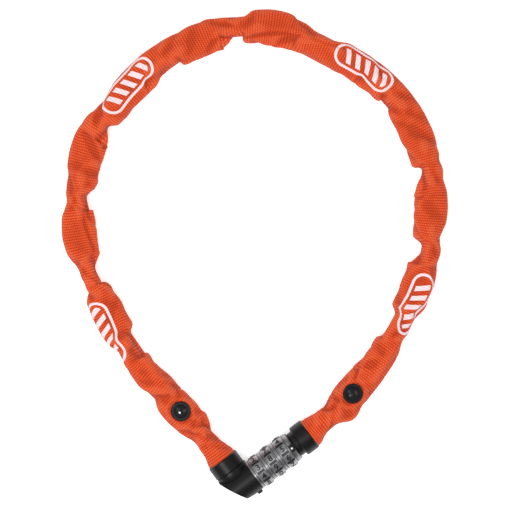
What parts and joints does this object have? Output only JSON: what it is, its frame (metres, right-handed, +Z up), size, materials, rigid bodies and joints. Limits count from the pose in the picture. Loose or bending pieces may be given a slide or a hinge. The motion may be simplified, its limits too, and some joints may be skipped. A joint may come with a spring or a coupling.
{
  "type": "combination chain lock",
  "caption": "Steel chain in a woven orange sleeve, closed into a loop by an elbow-shaped combination lock with number dials.",
  "frame": {"origin": "under the middle of the loop, on the surface that it lies on", "axes": "+Z up, +Y from the lock to the far end of the loop, +X across the loop"},
  "size_m": [0.1923, 0.2424, 0.017],
  "materials": {
    "woven_sleeve": "coarse woven polyester tube, matt",
    "chain_steel": "zinc plated wire",
    "dial_metal": "satin plated zinc casting",
    "ring_metal": "satin plated zinc casting",
    "brass": "turned brass",
    "black_plastic": "fine moulded texture, satin",
    "black_zinc": "black coated zinc casting",
    "lever_plastic": "moulded, satin",
    "rivet_black": "polished black",
    "spring_steel": "bright spring steel",
    "bolt_steel": "bright turned steel"
  },
  "bodies": {
    "lock_body": {"housing_jacket": "black_plastic", "lock_frame": "black_zinc", "collar_left": "black_plastic", "barrel": "brass", "index_ring": "ring_metal", "spacer_rings": "ring_metal", "end_ring": "ring_metal", "stack_springs": "spring_steel", "detent_springs": "spring_steel", "barrel_pin": "bolt_steel", "chain_pin_left": "bolt_steel", "end_link_left": "chain_steel", "sleeve_end_left": "woven_sleeve"},
    "bolt_end": {"bolt": "bolt_steel", "bolt_head": "black_zinc", "collar_right": "black_plastic", "chain_pin_right": "bolt_steel", "bolt_cross_pin": "bolt_steel", "end_link_right": "chain_steel", "sleeve_end_right": "woven_sleeve"},
    "code_lever": {"code_change_lever": "lever_plastic"},
    "number_dial_1": {"dial_1": "dial_metal", "code_hub_1": "brass"},
    "number_dial_2": {"dial_2": "dial_metal", "code_hub_2": "brass"},
    "number_dial_3": {"dial_3": "dial_metal", "code_hub_3": "brass"},
    "loop_left_1": {"chain_left_1": "chain_steel", "sleeve_left_1": "woven_sleeve", "rivet_left": "rivet_black", "rivet_back_left": "rivet_black"},
    "loop_left_2": {"chain_left_2": "chain_steel", "sleeve_left_2": "woven_sleeve"},
    "loop_left_3": {"chain_left_3": "chain_steel", "sleeve_left_3": "woven_sleeve"},
    "loop_left_4": {"chain_left_4": "chain_steel", "sleeve_left_4": "woven_sleeve"},
    "loop_left_5": {"chain_left_5": "chain_steel", "sleeve_left_5": "woven_sleeve"},
    "loop_left_6": {"chain_left_6": "chain_steel", "sleeve_left_6": "woven_sleeve"},
    "loop_left_7": {"chain_left_7": "chain_steel", "sleeve_left_7": "woven_sleeve"},
    "loop_right_1": {"chain_right_1": "chain_steel", "sleeve_right_1": "woven_sleeve", "rivet_right": "rivet_black", "rivet_back_right": "rivet_black"},
    "loop_right_2": {"chain_right_2": "chain_steel", "sleeve_right_2": "woven_sleeve"},
    "loop_right_3": {"chain_right_3": "chain_steel", "sleeve_right_3": "woven_sleeve"},
    "loop_right_4": {"chain_right_4": "chain_steel", "sleeve_right_4": "woven_sleeve"},
    "loop_right_5": {"chain_right_5": "chain_steel", "sleeve_right_5": "woven_sleeve"},
    "loop_right_6": {"chain_right_6": "chain_steel", "sleeve_right_6": "woven_sleeve"}
  },
  "joints": [
    {"name": "dial_1_turn", "type": "hinge", "parent": "lock_body", "child": "number_dial_1", "pos_m": [0.00275, -0.1073, 0.0085], "axis": [0.8, 0.6, 0], "continuous": true},
    {"name": "dial_2_turn", "type": "hinge", "parent": "lock_body", "child": "number_dial_2", "pos_m": [0.00875, -0.1028, 0.0085], "axis": [0.8, 0.6, 0], "continuous": true},
    {"name": "dial_3_turn", "type": "hinge", "parent": "lock_body", "child": "number_dial_3", "pos_m": [0.01475, -0.0983, 0.0085], "axis": [0.8, 0.6, 0], "continuous": true},
    {"name": "bolt_slide", "type": "slide", "parent": "lock_body", "child": "bolt_end", "axis": [0.8, 0.6, 0], "range_m": [0, 0.03]},
    {"name": "code_lever_slide", "type": "slide", "parent": "lock_body", "child": "code_lever", "axis": [-0.8, -0.6, 0], "range_m": [0, 0.0025]},
    {"name": "loop_left_1_bend", "type": "hinge", "parent": "lock_body", "child": "loop_left_1", "pos_m": [-0.02852, -0.08679, 0.0085], "axis": [0, 0, 1], "range_deg": [-5.79, 0]},
    {"name": "loop_left_2_bend", "type": "hinge", "parent": "loop_left_1", "child": "loop_left_2", "pos_m": [-0.05655, -0.05614, 0.0085], "axis": [0, 0, 1], "range_deg": [-2.91, 0]},
    {"name": "loop_left_3_bend", "type": "hinge", "parent": "loop_left_2", "child": "loop_left_3", "pos_m": [-0.07804, -0.02068, 0.0085], "axis": [0, 0, 1], "range_deg": [0, 3.49]},
    {"name": "loop_left_4_bend", "type": "hinge", "parent": "loop_left_3", "child": "loop_left_4", "pos_m": [-0.08814, 0.01929, 0.0085], "axis": [0, 0, 1], "range_deg": [0, 3.71]},
    {"name": "loop_left_5_bend", "type": "hinge", "parent": "loop_left_4", "child": "loop_left_5", "pos_m": [-0.08052, 0.05973, 0.0085], "axis": [0, 0, 1], "range_deg": [0, 2.79]},
    {"name": "loop_left_6_bend", "type": "hinge", "parent": "loop_left_5", "child": "loop_left_6", "pos_m": [-0.05356, 0.09095, 0.0085], "axis": [0, 0, 1], "range_deg": [0, 1.62]},
    {"name": "loop_left_7_bend", "type": "hinge", "parent": "loop_left_6", "child": "loop_left_7", "pos_m": [-0.0175, 0.1111, 0.0085], "axis": [0, 0, 1], "range_deg": [0, 0.58]},
    {"name": "loop_right_1_bend", "type": "hinge", "parent": "bolt_end", "child": "loop_right_1", "pos_m": [0.04227, -0.0772, 0.0085], "axis": [0, 0, 1], "range_deg": [-2.87, 0]},
    {"name": "loop_right_2_bend", "type": "hinge", "parent": "loop_right_1", "child": "loop_right_2", "pos_m": [0.06685, -0.04395, 0.0085], "axis": [0, 0, 1], "range_deg": [0, 4.72]},
    {"name": "loop_right_3_bend", "type": "hinge", "parent": "loop_right_2", "child": "loop_right_3", "pos_m": [0.08386, -0.00624, 0.0085], "axis": [0, 0, 1], "range_deg": [0, 4.46]},
    {"name": "loop_right_4_bend", "type": "hinge", "parent": "loop_right_3", "child": "loop_right_4", "pos_m": [0.08762, 0.03495, 0.0085], "axis": [0, 0, 1], "range_deg": [0, 1.54]},
    {"name": "loop_right_5_bend", "type": "hinge", "parent": "loop_right_4", "child": "loop_right_5", "pos_m": [0.07346, 0.07344, 0.0085], "axis": [0, 0, 1], "range_deg": [-2.46, 0]},
    {"name": "loop_right_6_bend", "type": "hinge", "parent": "loop_right_5", "child": "loop_right_6", "pos_m": [0.04209, 0.10024, 0.0085], "axis": [0, 0, 1], "range_deg": [-1.94, 0]}
  ],
  "couplings": [
    {"joint": "loop_left_1_bend", "follows": "bolt_slide", "rad_per_m": -3.366},
    {"joint": "loop_left_2_bend", "follows": "bolt_slide", "rad_per_m": -1.687},
    {"joint": "loop_left_3_bend", "follows": "bolt_slide", "rad_per_m": 2.029},
    {"joint": "loop_left_4_bend", "follows": "bolt_slide", "rad_per_m": 2.152},
    {"joint": "loop_left_5_bend", "follows": "bolt_slide", "rad_per_m": 1.619},
    {"joint": "loop_left_6_bend", "follows": "bolt_slide", "rad_per_m": 0.936},
    {"joint": "loop_left_7_bend", "follows": "bolt_slide", "rad_per_m": 0.333},
    {"joint": "loop_right_1_bend", "follows": "bolt_slide", "rad_per_m": -1.663},
    {"joint": "loop_right_2_bend", "follows": "bolt_slide", "rad_per_m": 2.74},
    {"joint": "loop_right_3_bend", "follows": "bolt_slide", "rad_per_m": 2.593},
    {"joint": "loop_right_4_bend", "follows": "bolt_slide", "rad_per_m": 0.894},
    {"joint": "loop_right_5_bend", "follows": "bolt_slide", "rad_per_m": -1.426},
    {"joint": "loop_right_6_bend", "follows": "bolt_slide", "rad_per_m": -1.123}
  ]
}
